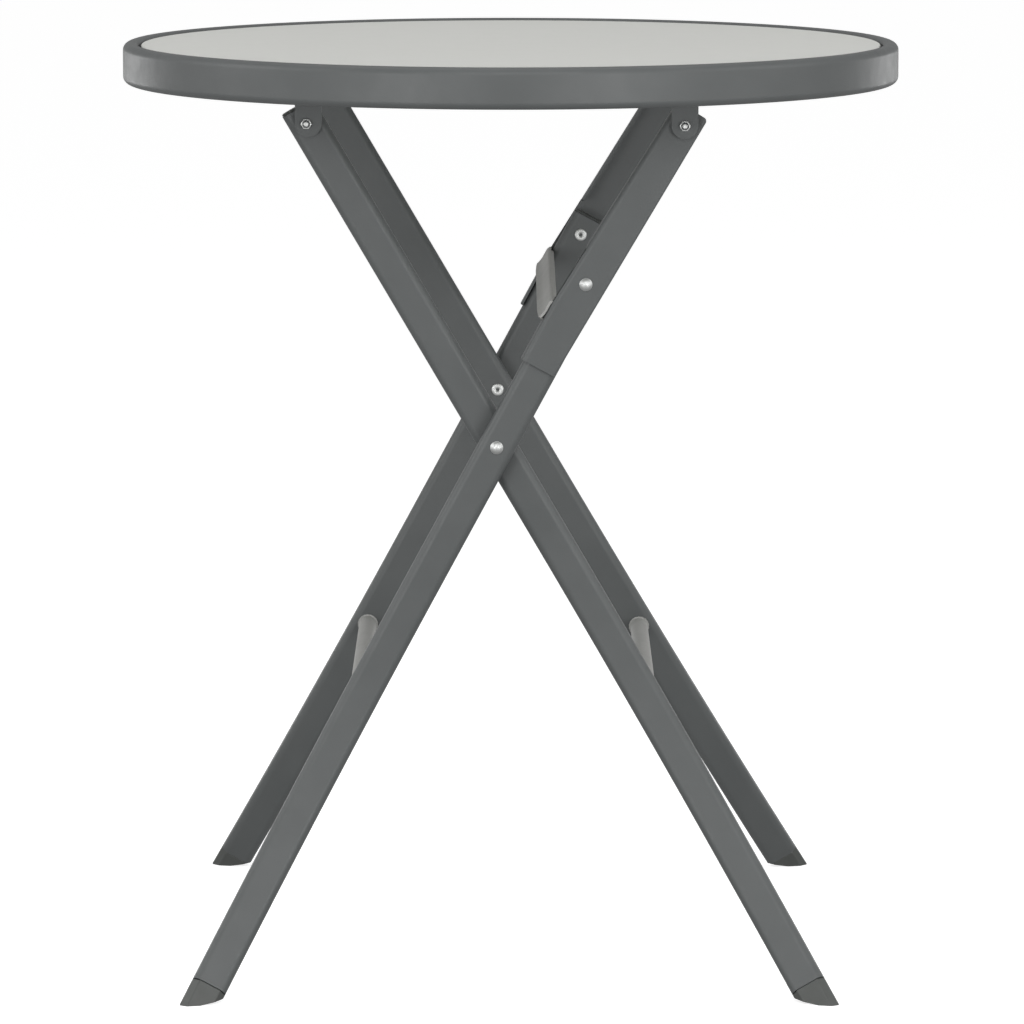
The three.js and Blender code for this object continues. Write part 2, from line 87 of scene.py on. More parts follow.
PLUG_PLATE = 0.0015
PLUG_INSERT = 0.006
FOOT_REACH = 0.060
FOOT_INSERT = 0.010
FOOT_CHAMFER = 0.005
HEEL_RISE = tan(radians(10))
CROSSBAR_RADIUS = 0.007
CROSSBAR_HEIGHT = 0.214
LINK_SHEET = 0.0018
LINK_TAIL = 0.0724
LINK_END = 0.0125
KNEE_CLEARANCE = 0.023
STOP_GAP = 0.0004
PLATE_WIDTH = 0.017
PLATE_DROP = 0.022
EAR_WIDTH = 0.020
EAR_SHEET = 0.003
EAR_GAP = 0.0008
LEFT_EAR_SHIFT = 0.0015
RIVET_RADIUS = 0.003
RIVET_HEAD_RADIUS = 0.0049
RIVET_HEAD_HEIGHT = 0.003
RIVET_TAIL_HEIGHT = 0.0013
BOLT_RADIUS = 0.002
BOLT_HEAD_RADIUS = 0.004
BOLT_HEAD_HEIGHT = 0.0032
THREAD_PITCH = 0.0007
NUT_FLATS = 0.007
NUT_HEIGHT = 0.004
WASHER_RADIUS = 0.007
WASHER_SHEET = 0.001
BOLT_PROUD = 0.001
FIT = 0.0003

# Sizes that only the looks need.
CROWN_INSET = 0.001
FACE_LOOP = 0.006
LEDGE_BEND = 0.0006
GLASS_EDGE = 0.0012
GLASS_LOOP = 0.14
SEAL_WIDTH = 0.007
SEAL_EDGE = 0.0004
PAD_OUT = 0.150
LEAST_RADIUS = 0.0006
EAR_BEND = 0.0025
EAR_TAB = 0.0200
EAR_ROUNDING = 0.0010
EAR_LEAST_HALF = 0.0012
RAIL_BEAD = 0.0016
EAR_BEAD = 0.0013
BAR_BEAD = 0.0011
PLATE_BEAD = 0.0011
BEAD_RIPPLE = 0.0022
WELD_SUNK = 0.0004
THREAD_DEPTH = 0.0004
BOLT_CHAMFER = 0.0006
SOCKET_DEPTH = 0.0016
RIVET_HOLLOW = 0.24 * RIVET_HEAD_RADIUS
RIVET_HOLLOW_DEPTH = 0.0030
SOFT_CORNER = 0.0009
FOOT_ROUNDING = 0.0006
WEB_BEND = 0.0042
LINK_CURL = 0.0020
LINK_CORNER = 0.003
LINK_LEFT_AT_TOP = -0.0136
LINK_RIGHT_AT_TOP = 0.0124
LINK_RIGHT_AT_TAIL = 0.0166
NOTCH_RUN = 0.002
TAIL_RUN = 0.012
PLATE_SHEET = 0.0018
PLATE_BEND = 0.0020
PLATE_CURL = 0.0075
PLATE_LIP = 0.0032

STEEL = "powder_coated_steel"
ZINC = "zinc_plated_steel"
PLASTIC = "grey_plastic"
RUBBER = "black_rubber"
GLASS = "tempered_glass"
SIDES = (("front", -1), ("rear", 1))
RING_STEPS = 192
ROUND_STEPS = 40

joints = {joint["name"]: Vector(joint["pos_m"]) for joint in frame["joints"]}
crossing = joints["crossing_fold"]
knee = joints["knee_fold"]
right_pivot = joints["right_pivot_fold"]
nut_low, nut_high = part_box("left_pivot_nut_front")
left_pivot = Vector(((nut_low.x + nut_high.x) / 2, 0, (nut_low.z + nut_high.z) / 2))
rail_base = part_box("left_rail")[0].z
rail_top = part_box("left_rail")[1].z
glass_low, glass_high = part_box("glass_panel")


def lean_of(low, high):
    return atan2(high.x - low.x, high.z - low.z)


link_lean = lean_of(knee, right_pivot)
link_length = (right_pivot - knee).length
inner = {
    "name": "inner",
    "body": "inner_frame",
    "lean": lean_of(crossing, left_pivot),
    "plane": INNER_PLANE,
    "end": (left_pivot - crossing).length + LEFT_PIVOT_TO_END,
    "bend_start": -0.070,
    "bend_radius": 0.830,
}
outer = {
    "name": "outer",
    "body": "outer_frame",
    "lean": lean_of(crossing, knee),
    "plane": OUTER_PLANE,
    "end": (knee - crossing).length + KNEE_TO_END,
    "bend_start": -0.110,
    "bend_radius": 0.752,
}


# Materials: each is a Principled shader with procedural noise in its colour, roughness and height.

def noise(tree, scale, detail=2.0, stretch=(1, 1, 1)):
    place = tree.nodes.new("ShaderNodeTexCoord")
    mapping = tree.nodes.new("ShaderNodeMapping")
    mapping.inputs["Scale"].default_value = stretch
    texture = tree.nodes.new("ShaderNodeTexNoise")
    texture.inputs["Scale"].default_value = scale
    texture.inputs["Detail"].default_value = detail
    tree.links.new(place.outputs["Object"], mapping.inputs["Vector"])
    tree.links.new(mapping.outputs["Vector"], texture.inputs["Vector"])
    return texture.outputs["Fac"]


def spread(tree, value, low, high):
    scaled = tree.nodes.new("ShaderNodeMapRange")
    scaled.inputs["From Min"].default_value = 0.3
    scaled.inputs["From Max"].default_value = 0.7
    scaled.inputs["To Min"].default_value = low
    scaled.inputs["To Max"].default_value = high
    tree.links.new(value, scaled.inputs["Value"])
    return scaled.outputs["Result"]


def blend_colours(tree, value, low, high):
    mix = tree.nodes.new("ShaderNodeMix")
    mix.data_type = "RGBA"
    mix.inputs["A"].default_value = (*low, 1)
    mix.inputs["B"].default_value = (*high, 1)
    tree.links.new(value, mix.inputs["Factor"])
    return mix.outputs["Result"]


def material(name, dark, light, patch, roughness, grain, depth, stretch=(1, 1, 1), **sockets):
    """patch and grain are the scales of the noise in colour and height; depth is the height in metres."""
    made = bpy.data.materials.new(name)
    made.use_nodes = True
    tree = made.node_tree
    shader = tree.nodes["Principled BSDF"]
    colour = blend_colours(tree, spread(tree, noise(tree, patch, 4.0), 0, 1), dark, light)
    tree.links.new(colour, shader.inputs["Base Color"])
    rough = spread(tree, noise(tree, 2.5 * patch, 3.0, stretch), *roughness)
    tree.links.new(rough, shader.inputs["Roughness"])
    bump = tree.nodes.new("ShaderNodeBump")
    bump.inputs["Strength"].default_value = 0.5
    bump.inputs["Distance"].default_value = depth
    tree.links.new(noise(tree, grain, 2.0, stretch), bump.inputs["Height"])
    tree.links.new(bump.outputs["Normal"], shader.inputs["Normal"])
    for socket, value in sockets.items():
        shader.inputs[socket.replace("_", " ")].default_value = value
    return made


MATERIALS = {
    STEEL: material(
        "powder_coat",
        dark=(0.083, 0.089, 0.089),
        light=(0.091, 0.097, 0.097),
        patch=30,
        roughness=(0.42, 0.49),
        grain=1500,
        depth=0.00012,
    ),
    ZINC: material(
        "zinc_plate",
        dark=(0.62, 0.63, 0.62),
        light=(0.74, 0.75, 0.74),
        patch=160,
        roughness=(0.46, 0.58),
        grain=900,
        depth=0.00002,
        stretch=(1, 6, 1),
        Metallic=1.0,
    ),
    PLASTIC: material(
        "moulded_plastic",
        dark=(0.062, 0.066, 0.062),
        light=(0.070, 0.075, 0.071),
        patch=60,
        roughness=(0.36, 0.46),
        grain=2200,
        depth=0.00006,
    ),
    RUBBER: material(
        "black_rubber",
        dark=(0.012, 0.012, 0.013),
        light=(0.022, 0.022, 0.023),
        patch=80,
        roughness=(0.72, 0.85),
        grain=1600,
        depth=0.00008,
    ),
    GLASS: material(
        "satin_glass",
        dark=(0.785, 0.791, 0.750),
        light=(0.797, 0.803, 0.762),
        patch=40,
        roughness=(0.34, 0.36),
        grain=2600,
        depth=0.000004,
        Transmission_Weight=0.1,
        IOR=1.5,
    ),
}
# The cross members take a lighter, warmer copy of the legs' coat: painted light, standing in for the extra
# light the braces catch.
COAT_WITH_PAINTED_LIGHT = material(
    "powder_coat_painted_light",
    dark=(0.310, 0.311, 0.298),
    light=(0.330, 0.331, 0.317),
    patch=30,
    roughness=(0.46, 0.54),
    grain=1500,
    depth=0.00012,
)
NYLON_RING = material(
    "nylon_insert",
    dark=(0.05, 0.06, 0.09),
    light=(0.07, 0.08, 0.11),
    patch=200,
    roughness=(0.45, 0.55),
    grain=2400,
    depth=0.00003,
)


# Mesh building.

SAME_POINT = 2e-6
NO_LENGTH = 1e-7
SHARP_ANGLE = 38
FOOT_SHARP_ANGLE = 5
BEVEL_ANGLE = 40


def make(name, shape, body, slot, replaced=(), sharp=SHARP_ANGLE, bevel=0.0):
    """A visible piece from (vertices, faces): it rides on the body and stands for the nodes replaced."""
    vertices, faces = shape
    mesh = bpy.data.meshes.new(name)
    mesh.from_pydata([tuple(v) for v in vertices], [], faces)
    work = bmesh.new()
    work.from_mesh(mesh)
    bmesh.ops.remove_doubles(work, verts=work.verts, dist=SAME_POINT)
    bmesh.ops.dissolve_degenerate(work, edges=work.edges, dist=NO_LENGTH)
    bmesh.ops.recalc_face_normals(work, faces=work.faces)
    work.to_mesh(mesh)
    work.free()
    mesh.shade_smooth()
    mesh.set_sharp_from_angle(angle=radians(sharp))
    mesh.materials.append(MATERIALS[slot])
    piece = bpy.data.objects.new(name, mesh)
    bpy.context.scene.collection.objects.link(piece)
    if bevel:
        rounding = piece.modifiers.new("rounding", "BEVEL")
        rounding.width = bevel
        rounding.segments = 3
        rounding.limit_method = "ANGLE"
        rounding.angle_limit = radians(BEVEL_ANGLE)
        rounding.harden_normals = True
    else:
        flat = piece.modifiers.new("flat_faces_stay_flat", "WEIGHTED_NORMAL")
        flat.keep_sharp = True
    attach(piece, body)
    if replaced:
        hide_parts(*replaced)
    return piece


def loft(rings, closed=False):
    """Quads between rings of as many points each; the ends are capped, or joined to each other if closed."""
    count = len(rings[0])
    vertices = [point for ring in rings for point in ring]
    faces = []
    for i in range(len(rings) if closed else len(rings) - 1):
        near, far = i * count, (i + 1) % len(rings) * count
        for k in range(count):
            after = (k + 1) % count
            faces.append((near + k, near + after, far + after, far + k))
    if not closed:
        faces.append(tuple(range(count))[::-1])
        faces.append(tuple(range(len(vertices) - count, len(vertices))))
    return vertices, faces


def together(*shapes):
    """Several closed shapes as one piece."""
    vertices, faces = [], []
    for more_vertices, more_faces in shapes:
        faces += [tuple(i + len(vertices) for i in face) for face in more_faces]
        vertices += more_vertices
    return vertices, faces


def turn(profile, place, steps=ROUND_STEPS):
    """A round piece about its own Z from (radius, height) pairs that go once round its section."""
    rings = []
    for i in range(steps):
        angle = 2 * pi * i / steps
        rings.append([place @ Vector((r * cos(angle), r * sin(angle), h)) for r, h in profile])
    return loft(rings, closed=True)


def arc(x, y, radius, start, end, steps=6):
    angles = [start + (end - start) * i / steps for i in range(steps + 1)]
    return [(x + radius * cos(a), y + radius * sin(a)) for a in angles]


def rounded_rectangle(width, depth, radius, steps=8):
    x, y = width / 2 - radius, depth / 2 - radius
    quarter = pi / 2
    return (
        arc(x, y, radius, 0, quarter, steps)
        + arc(-x, y, radius, quarter, 2 * quarter, steps)
        + arc(-x, -y, radius, 2 * quarter, 3 * quarter, steps)
        + arc(x, -y, radius, 3 * quarter, 4 * quarter, steps)
    )


def chamfered_rectangle(width, depth, chamfer, soft=SOFT_CORNER):
    """A rectangle with 45 degree chamfers, each of its eight corners a little rounded."""
    x, y = width / 2, depth / 2
    corners = [
        (x, -y + chamfer), (x, y - chamfer), (x - chamfer, y), (chamfer - x, y),
        (-x, y - chamfer), (-x, chamfer - y), (chamfer - x, -y), (x - chamfer, -y),
    ]
    points = []
    for i, corner in enumerate(corners):
        here = Vector(corner)
        before = (Vector(corners[i - 1]) - here).normalized()
        after = (Vector(corners[(i + 1) % 8]) - here).normalized()
        for share in (0.0, 0.25, 0.5, 0.75, 1.0):
            start, end = here + soft * before, here + soft * after
            first, second = start.lerp(here, share), here.lerp(end, share)
            points.append(tuple(first.lerp(second, share)))
    return points


def soft_box(low, high, inside, outside, soft):
    """The section of a flat ring with softened edges: heights low to high, radii inside to outside."""
    quarter = pi / 2
    return (
        arc(outside - soft, low + soft, soft, -quarter, 0, 3)
        + arc(outside - soft, high - soft, soft, 0, quarter, 3)
        + arc(inside + soft, high - soft, soft, quarter, 2 * quarter, 3)
        + arc(inside + soft, low + soft, soft, 2 * quarter, 3 * quarter, 3)
    )


def outward(centre, side):
    """A place whose own Z points out of that side of the table."""
    return Matrix.Translation(centre) @ Matrix.Rotation(-side * pi / 2, 4, "X")


def bead(points, radius):
    """A weld bead: a rippled tube along nearly straight points, closed at both ends."""
    not_along = Vector((0.3, 0.5, 0.81))
    sides = 10
    swell, taper = 0.14, 0.45
    along = (points[-1] - points[0]).normalized()
    across = along.cross(not_along).normalized()
    third = along.cross(across)
    rings = []
    travelled = 0.0
    for i, point in enumerate(points):
        travelled += (point - points[i - 1]).length if i else 0
        size = radius * (1 + swell * cos(2 * pi * travelled / BEAD_RIPPLE))
        if i in (0, len(points) - 1):
            size *= taper
        turns = [2 * pi * k / sides for k in range(sides)]
        rings.append([point + size * (cos(a) * across + sin(a) * third) for a in turns])
    return loft(rings)


def between(start, end, count):
    return [start.lerp(end, i / (count - 1)) for i in range(count)]


# The top.

def rim_ring():
    base = TOP_HEIGHT - RIM_HEIGHT
    wall = TOP_RADIUS - RIM_WIDTH
    outer_centre = TOP_RADIUS - RIM_OUTER_BEND
    inner_centre = wall + RIM_INNER_BEND
    low_bend = base + RIM_OUTER_BEND
    high_bend = TOP_HEIGHT - RIM_OUTER_BEND
    inner_bend = TOP_HEIGHT - RIM_INNER_BEND
    ledge = TOP_HEIGHT - LEDGE_DROP
    lip = TOP_RADIUS - RIM_LOWER_LIP
    half = RIM_SHEET / 2
    quarter = pi / 2
    crown = [(outer_centre - CROWN_INSET, TOP_HEIGHT), (inner_centre + CROWN_INSET, TOP_HEIGHT)]
    profile = (
        arc(outer_centre, low_bend, RIM_OUTER_BEND, -quarter, 0, 8)
        + [(TOP_RADIUS, low_bend + FACE_LOOP), (TOP_RADIUS, high_bend - FACE_LOOP)]
        + arc(outer_centre, high_bend, RIM_OUTER_BEND, 0, quarter, 8)
        + crown
        + arc(inner_centre, inner_bend, RIM_INNER_BEND, quarter, 2 * quarter, 7)
        + [(wall, ledge + LEDGE_BEND), (wall - LEDGE_BEND, ledge)]
        + arc(wall - LEDGE_WIDTH + half, ledge - half, half, quarter, 3 * quarter, 4)
        + [(wall + RIM_SHEET, ledge - RIM_SHEET)]
        + arc(inner_centre, inner_bend, RIM_INNER_BEND - RIM_SHEET, 2 * quarter, quarter, 7)
        + arc(outer_centre, high_bend, RIM_OUTER_BEND - RIM_SHEET, quarter, 0, 8)
        + arc(outer_centre, low_bend, RIM_OUTER_BEND - RIM_SHEET, 0, -quarter, 8)
        + arc(lip + half, base + half, half, quarter, 3 * quarter, 4)
    )
    return turn(profile, Matrix(), RING_STEPS)


def glass_panel():
    low, high, soft = glass_low.z, glass_high.z, GLASS_EDGE
    quarter = pi / 2
    edge = arc(GLASS_RADIUS - soft, low + soft, soft, -quarter, 0, 4)
    edge += arc(GLASS_RADIUS - soft, high - soft, soft, 0, quarter, 4)
    upper_side = [(GLASS_LOOP, high), (0.0, high)]
    lower_side = [(0.0, low), (GLASS_LOOP, low)]
    return turn(lower_side + edge + upper_side, Matrix(), RING_STEPS)


def glass_seal():
    low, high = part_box("glass_seal")[0].z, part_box("glass_seal")[1].z
    outside = TOP_RADIUS - RIM_WIDTH - FIT
    inside = outside - SEAL_WIDTH
    bed = glass_low.z - FIT
    around_glass = GLASS_RADIUS + FIT
    profile = [
        (inside, low), (outside, low), (outside, high - FIT), (outside - 0.0005, high),
        (around_glass + SEAL_EDGE, high), (around_glass, high - SEAL_EDGE),
        (around_glass, bed), (inside + FIT, bed), (inside, bed - SEAL_EDGE / 2),
    ]
    return turn(profile, Matrix(), RING_STEPS)


def rail(x_centre):
    reach = TOP_RADIUS - RIM_OUTER_BEND - RAIL_ROOM
    middle = (rail_base + rail_top) / 2
    depth = rail_top - rail_base
    rings = []
    for inset, order in ((0, (-1, 1)), (LEG_WALL, (1, -1))):
        radius = max(RAIL_CORNER - inset, LEAST_RADIUS)
        section = rounded_rectangle(RAIL_WIDTH - 2 * inset, depth - 2 * inset, radius, 4)
        for end in order:
            ring = []
            for x, z in section:
                y = end * sqrt(reach ** 2 - (x_centre + x) ** 2)
                ring.append(Vector((x_centre + x, y, middle + z)))
            rings.append(ring)
    return loft(rings, closed=True)


def rail_welds(x_centre):
    """Where the rail crosses the rim's lower lip, a bead on each end."""
    radius = TOP_RADIUS - RIM_LOWER_LIP - WELD_SUNK
    steps = 20
    length = 0.9 * RAIL_WIDTH
    beads = []
    for side in (-1, 1):
        xs = [x_centre + (i / steps - 0.5) * length for i in range(steps + 1)]
        points = [Vector((x, side * sqrt(radius ** 2 - x ** 2), rail_base - FIT)) for x in xs]
        beads.append(bead(points, RAIL_BEAD))
    return together(*beads)


def glass_pad(x, side):
    """A round rubber pad with a waist."""
    low, high = (corner.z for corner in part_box("left_glass_pad_rear"))
    place = Matrix.Translation((x, side * PAD_OUT, 0))
    foot_radius, waist_radius, head_radius = 0.0080, 0.0066, 0.0072
    profile = [
        (0.0, low), (foot_radius - 0.0004, low), (foot_radius, low + 0.0004),
        (foot_radius - 0.0002, low + 0.0014), (waist_radius, high - 0.0022),
        (head_radius, high - 0.0006), (head_radius - 0.0004, high), (0.0, high),
    ]
    return turn(profile, place)


def ear(pivot, inner_face, side, shift):
    """A bent strip: round at the bottom, up past the pivot, then turned out under the rail."""
    half, bend = EAR_WIDTH / 2, EAR_BEND
    top = rail_base - FIT - pivot.z
    lower_turns = [pi / 2 * i / 12 for i in range(13)]
    upper_turns = [pi / 2 * i / 6 for i in range(1, 7)]
    rows = [(half * sin(a), -half * cos(a), 0.0) for a in lower_turns]
    rise = top - EAR_SHEET - bend
    rows.append((half, rise, 0.0))
    inside = list(rows)
    outside = [(w, z, y + EAR_SHEET) for w, z, y in rows]
    for a in upper_turns:
        wide, narrow = bend + EAR_SHEET, bend
        inside.append((half, rise + wide * sin(a), wide * (1 - cos(a))))
        outside.append((half, rise + narrow * sin(a), EAR_SHEET + narrow * (1 - cos(a))))
    inside.append((half, top, EAR_TAB))
    outside.append((half, top - EAR_SHEET, EAR_TAB))
    rings = []
    for (w, z, y), (v, t, u) in zip(inside, outside):
        w = max(w, EAR_LEAST_HALF)
        v = max(v, EAR_LEAST_HALF)
        corners = [(-w, z, y), (w, z, y), (v, t, u), (-v, t, u)]
        rings.append([pivot + Vector((a + shift, side * (inner_face + c), b)) for a, b, c in corners])
    return loft(rings)


def ear_welds(pivot, inner_face, side, shift):
    """A bead along each edge of the ear's turned-out tab, where it meets the rail."""
    top = rail_base - WELD_SUNK
    first, last = 0.3 * EAR_TAB, EAR_TAB - 0.0005
    beads = []
    for edge in (-1, 1):
        x = pivot.x + shift + edge * (EAR_WIDTH / 2 - WELD_SUNK)
        start = Vector((x, side * (inner_face + first), top))
        end = Vector((x, side * (inner_face + last), top))
        beads.append(bead(between(start, end, 19), EAR_BEAD))
    return together(*beads)


# Fasteners. A profile's heights run outward from the plane y = 0.

def hex_nut(face, pivot, side):
    """A lock nut: chamfered hexagon, and a round collar that holds a nylon ring."""
    steps = 72
    place = outward(pivot, side)
    hexagon_top = face + 0.68 * NUT_HEIGHT
    top = face + NUT_HEIGHT
    flat = NUT_FLATS / 2
    bore = BOLT_RADIUS + FIT
    chamfer_slope = tan(radians(30))
    rings = []
    for i in range(steps):
        angle = 2 * pi * i / steps
        radius = flat / cos((angle % (pi / 3)) - pi / 6)
        drop = (radius - 0.985 * flat) * chamfer_slope
        profile = [
            (bore, face + FIT), (bore + FIT, face), (0.96 * flat, face),
            (radius, face + drop), (radius, hexagon_top - drop), (0.90 * flat, hexagon_top),
            (0.88 * flat, top - 0.0006), (0.80 * flat, top - 0.0001), (0.74 * flat, top - 0.0003),
            (0.72 * flat, top - 0.0008), (bore, top - 0.0009),
        ]
        rings.append([place @ Vector((r * cos(angle), r * sin(angle), h)) for r, h in profile])
    return loft(rings, closed=True)


def threaded(start, end, pivot, side):
    """A bolt's threaded length, with a chamfered end."""
    profile = [(0.0, start), (BOLT_RADIUS, start)]
    height = start + THREAD_PITCH / 2
    while height < end - THREAD_PITCH:
        profile += [(BOLT_RADIUS, height), (BOLT_RADIUS - THREAD_DEPTH, height + THREAD_PITCH / 2)]
        height += THREAD_PITCH
    profile += [(BOLT_RADIUS, end - BOLT_CHAMFER), (BOLT_RADIUS - BOLT_CHAMFER, end)]
    profile += [(BOLT_RADIUS / 2, end), (0.0, end - 0.0002)]
    return turn(profile, outward(pivot, side))


def bolt(head_face, end, pivot, side):
    """A pan-head bolt with a round socket; its head lies inward of head_face."""
    low = head_face - BOLT_HEAD_HEIGHT
    socket = 0.4 * BOLT_HEAD_RADIUS
    socket_end = low + SOCKET_DEPTH
    shoulder = 0.45 * BOLT_HEAD_RADIUS
    profile = [(0.0, socket_end), (socket, socket_end), (socket, low), (0.6 * BOLT_HEAD_RADIUS, low)]
    profile += arc(BOLT_HEAD_RADIUS - shoulder, low + shoulder, shoulder, -pi / 3, 0, 6)
    tip = 0.0005
    profile += [(BOLT_HEAD_RADIUS, head_face), (BOLT_RADIUS, head_face), (BOLT_RADIUS, end - tip)]
    profile += [(BOLT_RADIUS - tip, end), (0.0, end)]
    return turn(profile, outward(pivot, side))


def rivet(tail, head, pivot, side):
    """A semi-tubular rivet: a domed head outward of y = head, and a rolled tail with a hollow at y = tail."""
    radius, hollow, roll = RIVET_HEAD_RADIUS, RIVET_HOLLOW, RIVET_TAIL_HEIGHT
    ring_middle, ring_half = (hollow + radius) / 2, (radius - hollow) / 2
    hollow_end = tail + RIVET_HOLLOW_DEPTH
    profile = [(0.0, hollow_end), (0.9 * hollow, hollow_end), (hollow, hollow_end - 0.0008)]
    for i in range(15):
        a = pi * i / 14
        profile.append((ring_middle - ring_half * cos(a), tail + roll * (1 - sin(a))))
    profile.append((RIVET_RADIUS, tail + roll))
    dome_base = head + FIT
    profile += [(RIVET_RADIUS, head), (0.98 * radius, head), (radius, dome_base)]
    bulge = (radius ** 2 + RIVET_HEAD_HEIGHT ** 2) / (2 * RIVET_HEAD_HEIGHT)
    centre = head + RIVET_HEAD_HEIGHT - bulge
    steps = 9
    for i in range(1, steps + 1):
        r = radius * (1 - i / steps) ** 0.8
        profile.append((r, max(centre + sqrt(bulge ** 2 - r ** 2), dome_base)))
    return turn(profile, outward(pivot, side))


def washer(low, high, hole, pivot, side):
    return turn(soft_box(low, high, hole, WASHER_RADIUS, 0.0002), outward(pivot, side))


# The legs, in a frame that has its origin at the crossing and Z up along the leg.

def in_leg_frame(shape, side, x, y, z):
    return crossing + Matrix.Rotation(shape["lean"], 3, "Y") @ Vector((x, side * y, z))


def bend_angle(shape, z):
    return asin(max(shape["bend_start"] - z, 0) / shape["bend_radius"])


def leg_bottom(shape):
    return (LEG_END_HEIGHT - crossing.z) / cos(shape["lean"])


def leg_centre(shape, z):
    """The leg's distance outward, and its angle, where its middle line is at that height."""
    angle = bend_angle(shape, z)
    return shape["plane"] + shape["bend_radius"] * (1 - cos(angle)), angle


def leg_rings(shape, side, section, top):
    bottom = leg_bottom(shape)
    last = bend_angle(shape, bottom)
    start, radius = shape["bend_start"], shape["bend_radius"]
    steps = 28
    heights = [top, top - 0.001, start]
    heights += [start - radius * sin(last * i / steps) for i in range(1, steps + 1)]
    rings = []
    for z in heights:
        y, angle = leg_centre(shape, z)
        ring = []
        for u, v in section:
            ring.append(in_leg_frame(shape, side, u, y + v * cos(angle), z + v * sin(angle)))
        rings.append(ring)
    return rings


def leg(shape, side):
    top = shape["end"] - PLUG_PLATE - FIT
    outside = leg_rings(shape, side, rounded_rectangle(LEG_WIDTH, LEG_DEPTH, LEG_CORNER), top)
    bore = (LEG_WIDTH - 2 * LEG_WALL, LEG_DEPTH - 2 * LEG_WALL, LEG_CORNER - LEG_WALL)
    inside = leg_rings(shape, side, rounded_rectangle(*bore), top)
    return loft(outside + inside[::-1], closed=True)


def leg_plug(shape, side):
    """The cap at the leg's upper end, from levels of (rise, inset): a snug insert and a softened plate."""
    base = shape["end"] - PLUG_PLATE
    snug = LEG_WALL + 2 * FIT
    levels = (
        (-PLUG_INSERT, snug + 0.0009), (0.001 - PLUG_INSERT, snug), (0.0, snug), (0.0, 0.0009),
        (0.0003, 0.0004), (0.0008, 0.0003), (0.0012, 0.0006), (PLUG_PLATE, 0.0013),
    )
    rings = []
    for rise, inset in levels:
        z = base + rise
        size = (LEG_WIDTH - 2 * inset, LEG_DEPTH - 2 * inset, LEG_CORNER - inset)
        section = rounded_rectangle(*size)
        rings.append([in_leg_frame(shape, side, u, shape["plane"] + v, z) for u, v in section])
    return loft(rings)


def foot(shape, side):
    """The cap at the leg's lower end: a fine seam, chamfered corners, a flat sole and a raised heel."""
    bottom = leg_bottom(shape)
    y, angle = leg_centre(shape, bottom)
    rings = []
    snug = LEG_WALL + 2 * FIT
    levels = (
        (-FOOT_INSERT, snug + 0.001), (-FOOT_INSERT + 0.001, snug), (0.0001, snug), (0.0001, 0.0005),
        (0.0007, 0.0001), (0.0010, 0.0), (FOOT_REACH, 0.0),
    )
    for distance, inset in levels:
        section = chamfered_rectangle(LEG_WIDTH - 2 * inset, LEG_DEPTH - 2 * inset, FOOT_CHAMFER - inset / 2)
        ring = []
        for u, v in section:
            out = y + v * cos(angle) + distance * sin(angle)
            ring.append(in_leg_frame(shape, side, u, out, bottom + v * sin(angle) - distance * cos(angle)))
        rings.append(ring)
    vertices, faces = loft(rings)
    work = bmesh.new()
    made = [work.verts.new(v) for v in vertices]
    for face in faces:
        work.faces.new([made[i] for i in face])
    middle = crossing.x - crossing.z * tan(shape["lean"])
    inboard = 1 if shape["lean"] > 0 else -1
    for normal in ((0, 0, -1), (inboard * HEEL_RISE, 0, -1)):
        geometry = work.verts[:] + work.edges[:] + work.faces[:]
        bmesh.ops.bisect_plane(
            work, geom=geometry, plane_co=(middle, 0, 0), plane_no=normal, clear_outer=True
        )
        open_edges = [edge for edge in work.edges if edge.is_boundary]
        bmesh.ops.holes_fill(work, edges=open_edges)
    work.verts.index_update()
    cut_vertices = [v.co.copy() for v in work.verts]
    cut_faces = [tuple(v.index for v in face.verts) for face in work.faces]
    work.free()
    return cut_vertices, cut_faces


def crossbar(shape):
    """A round tube between the two legs of a frame, with a weld bead at each end."""
    z = (CROSSBAR_HEIGHT - crossing.z) / cos(shape["lean"])
    y, angle = leg_centre(shape, z)
    face = y - LEG_DEPTH / 2 / cos(angle)
    slope = -tan(angle)
    steps = 48
    rings = []
    for radius, order in ((CROSSBAR_RADIUS, (-1, 1)), (CROSSBAR_RADIUS - LEG_WALL, (1, -1))):
        for side in order:
            ring = []
            for i in range(steps):
                a = 2 * pi * i / steps
                u, w = radius * cos(a), radius * sin(a)
                ring.append(in_leg_frame(shape, side, u, face + slope * w, z + w))
            rings.append(ring)
    beads = []
    bead_steps, bead_sides, ripples, swell = 96, 8, 18, 0.10
    for side in (-1, 1):
        bead_rings = []
        for i in range(bead_steps):
            a = 2 * pi * i / bead_steps
            size = BAR_BEAD * (1 + swell * cos(ripples * a))
            ring = []
            for k in range(bead_sides):
                b = 2 * pi * k / bead_sides
                radius = CROSSBAR_RADIUS + 0.0001 + size * cos(b)
                u, w = radius * cos(a), radius * sin(a)
                ring.append(in_leg_frame(shape, side, u, face + slope * w - WELD_SUNK + size * sin(b), z + w))
            bead_rings.append(ring)
        beads.append(loft(bead_rings, closed=True))
    return together(loft(rings, closed=True), *beads)


# The links, in a frame that has its origin at the knee and Z up towards the right pivot.

def in_link_frame(side, x, y, z):
    return knee + Matrix.Rotation(link_lean, 3, "Y") @ Vector((x, side * y, z))


LEG_SIDE = LEG_WIDTH / 2 + STOP_GAP
link_bend = link_lean - outer["lean"]


def beside_leg(x, z):
    return (x * cos(link_bend) - z * sin(link_bend), x * sin(link_bend) + z * cos(link_bend))


def corner_inset(past, radius):
    """How far a rounded corner has drawn in, past the height where it starts."""
    past = max(past, 0)
    return radius - sqrt(max(radius ** 2 - past ** 2, 0))


def straight_between(z, low, high):
    share = (z - low[1]) / (high[1] - low[1])
    return low[0] + (high[0] - low[0]) * share


